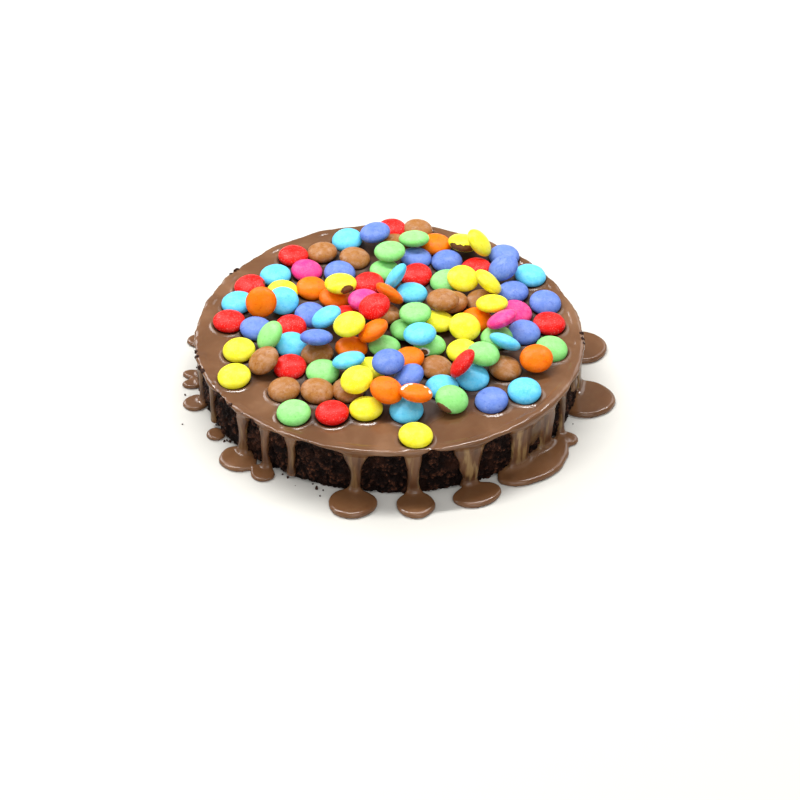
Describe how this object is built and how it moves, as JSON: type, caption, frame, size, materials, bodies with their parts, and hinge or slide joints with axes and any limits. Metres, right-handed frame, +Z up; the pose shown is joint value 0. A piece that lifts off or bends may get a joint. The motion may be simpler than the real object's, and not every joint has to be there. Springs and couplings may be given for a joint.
{
  "type": "brownie cake",
  "caption": "Round brownie cake with chocolate glaze that drips down its side into puddles, topped with a heap of colourful sugar-shelled chocolate candies.",
  "frame": {"origin": "middle of the cake's flat base, on the surface it stands on", "axes": "+Z up; -Y towards the front, the side that the picture shows; +X to the right of the picture"},
  "size_m": [0.2038, 0.2102, 0.0423],
  "materials": {
    "brownie": "dark coarse moist crumb",
    "glaze": "satin-glossy milk-chocolate glaze",
    "red": "red sugar shell, satin",
    "orange": "orange sugar shell, satin",
    "yellow": "yellow sugar shell, satin",
    "green": "green sugar shell, satin",
    "turquoise": "turquoise sugar shell, satin",
    "blue": "blue sugar shell, satin",
    "brown": "brown sugar shell, satin",
    "pink": "pink sugar shell, satin"
  },
  "bodies": {
    "root": {"brownie": "brownie", "candy_blue_01": "blue", "candy_blue_02": "blue", "candy_blue_03": "blue", "candy_blue_04": "blue", "candy_blue_05": "blue", "candy_brown_01": "brown", "candy_brown_02": "brown", "candy_brown_03": "brown", "candy_brown_04": "brown", "candy_green_01": "green", "candy_green_02": "green", "candy_green_03": "green", "candy_green_04": "green", "candy_green_05": "green", "candy_green_06": "green", "candy_green_07": "green", "candy_green_08": "green", "candy_green_09": "green", "candy_orange_01": "orange", "candy_orange_02": "orange", "candy_orange_03": "orange", "candy_orange_04": "orange", "candy_orange_05": "orange", "candy_orange_06": "orange", "candy_orange_07": "orange", "candy_orange_08": "orange", "candy_orange_09": "orange", "candy_pink_01": "pink", "candy_pink_02": "pink", "candy_red_01": "red", "candy_red_02": "red", "candy_red_03": "red", "candy_turquoise_01": "turquoise", "candy_turquoise_02": "turquoise", "candy_turquoise_03": "turquoise", "candy_turquoise_04": "turquoise", "candy_turquoise_05": "turquoise", "candy_turquoise_06": "turquoise", "candy_turquoise_07": "turquoise", "candy_yellow_01": "yellow", "candy_yellow_02": "yellow", "candy_yellow_03": "yellow", "candy_yellow_04": "yellow", "candy_yellow_05": "yellow", "candy_yellow_06": "yellow", "candy_yellow_07": "yellow", "candy_yellow_08": "yellow", "candy_yellow_09": "yellow", "candy_yellow_10": "yellow", "candy_yellow_11": "yellow", "glaze": "glaze"}
  },
  "joints": []
}
